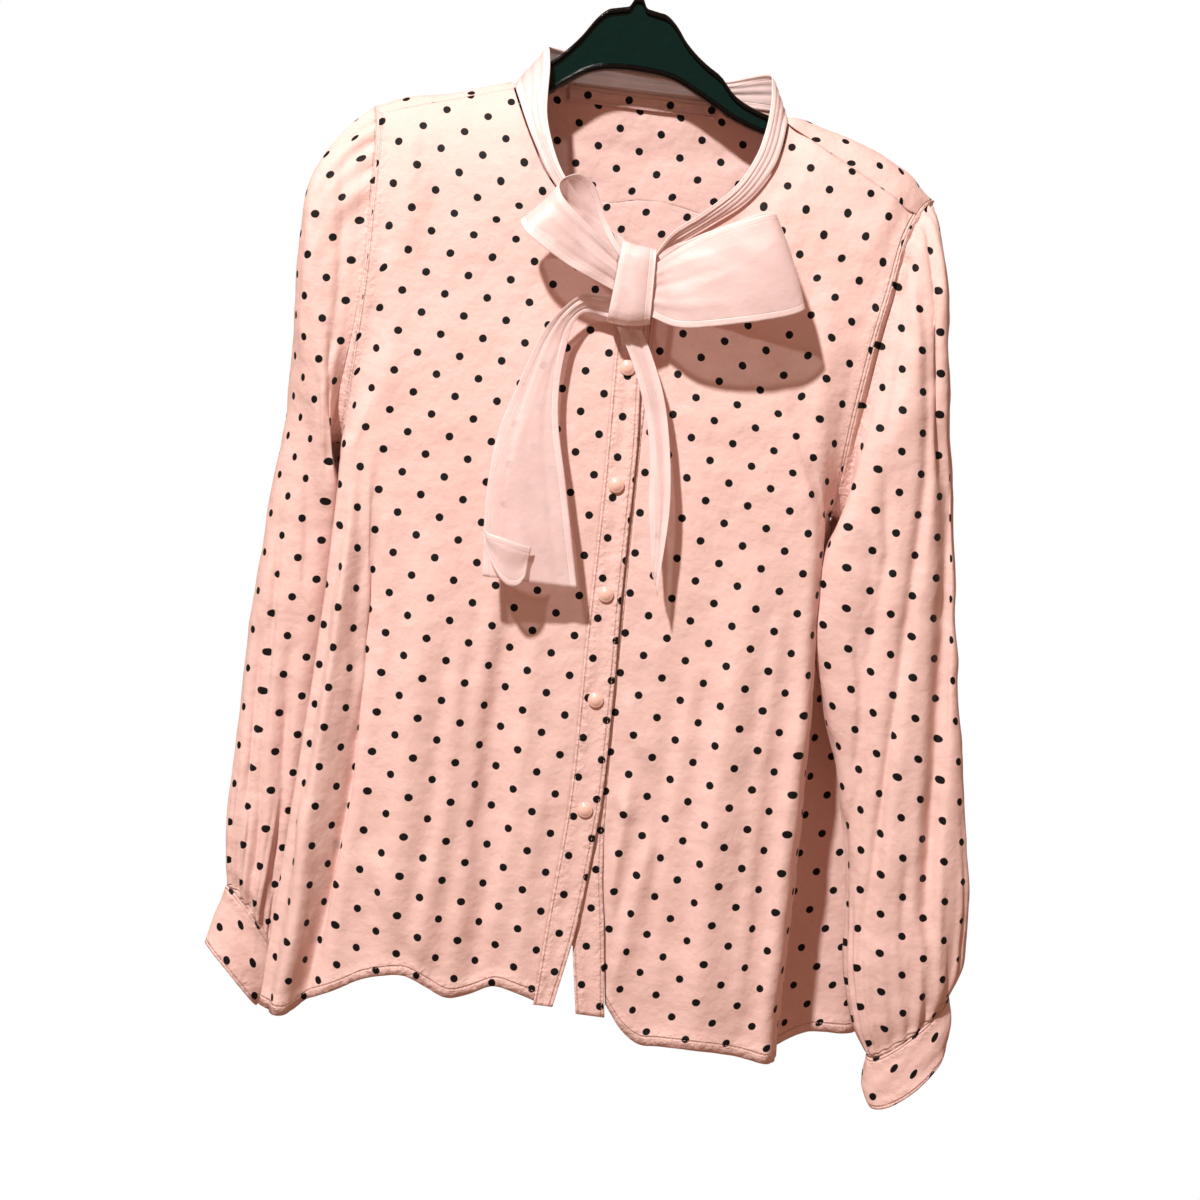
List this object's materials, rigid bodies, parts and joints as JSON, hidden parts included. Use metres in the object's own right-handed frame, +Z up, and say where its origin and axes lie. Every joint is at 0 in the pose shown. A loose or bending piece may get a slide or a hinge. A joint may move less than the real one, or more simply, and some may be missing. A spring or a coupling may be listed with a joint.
{
  "type": "tie neck blouse on a hanger",
  "caption": "Long-sleeved dotted blouse with gathered cuffs, a button front and a sheer tie collar in a bow, on a dark plastic hanger",
  "frame": {"origin": "inside top of the hanger's hook, where it rests on a rail", "axes": "+X is the wearer's left, which is the right of the picture; the front faces -Y; +Z is up"},
  "size_m": [0.5441, 0.113, 0.8115],
  "materials": {
    "dotted_cloth": "soft sheen crepe with black dots",
    "sheer_tie": "sheer organza",
    "button_pearl": "pearl",
    "hanger_plastic": "gloss",
    "hook_wire": "bright"
  },
  "bodies": {
    "root": {"front_right": "dotted_cloth", "front_left": "dotted_cloth", "back_panel": "dotted_cloth", "placket_right": "dotted_cloth", "placket_left": "dotted_cloth", "neck_tape": "dotted_cloth", "sleeve_right": "dotted_cloth", "sleeve_left": "dotted_cloth", "cuff_right": "dotted_cloth", "cuff_left": "dotted_cloth", "collar_band": "sheer_tie", "bow_knot": "sheer_tie", "bow_loop_right": "sheer_tie", "bow_loop_left": "sheer_tie", "tail_right": "sheer_tie", "tail_left": "sheer_tie", "button_1": "button_pearl", "button_2": "button_pearl", "button_3": "button_pearl", "button_4": "button_pearl", "button_5": "button_pearl", "hanger_body": "hanger_plastic", "hanger_hook": "hook_wire"}
  },
  "joints": []
}
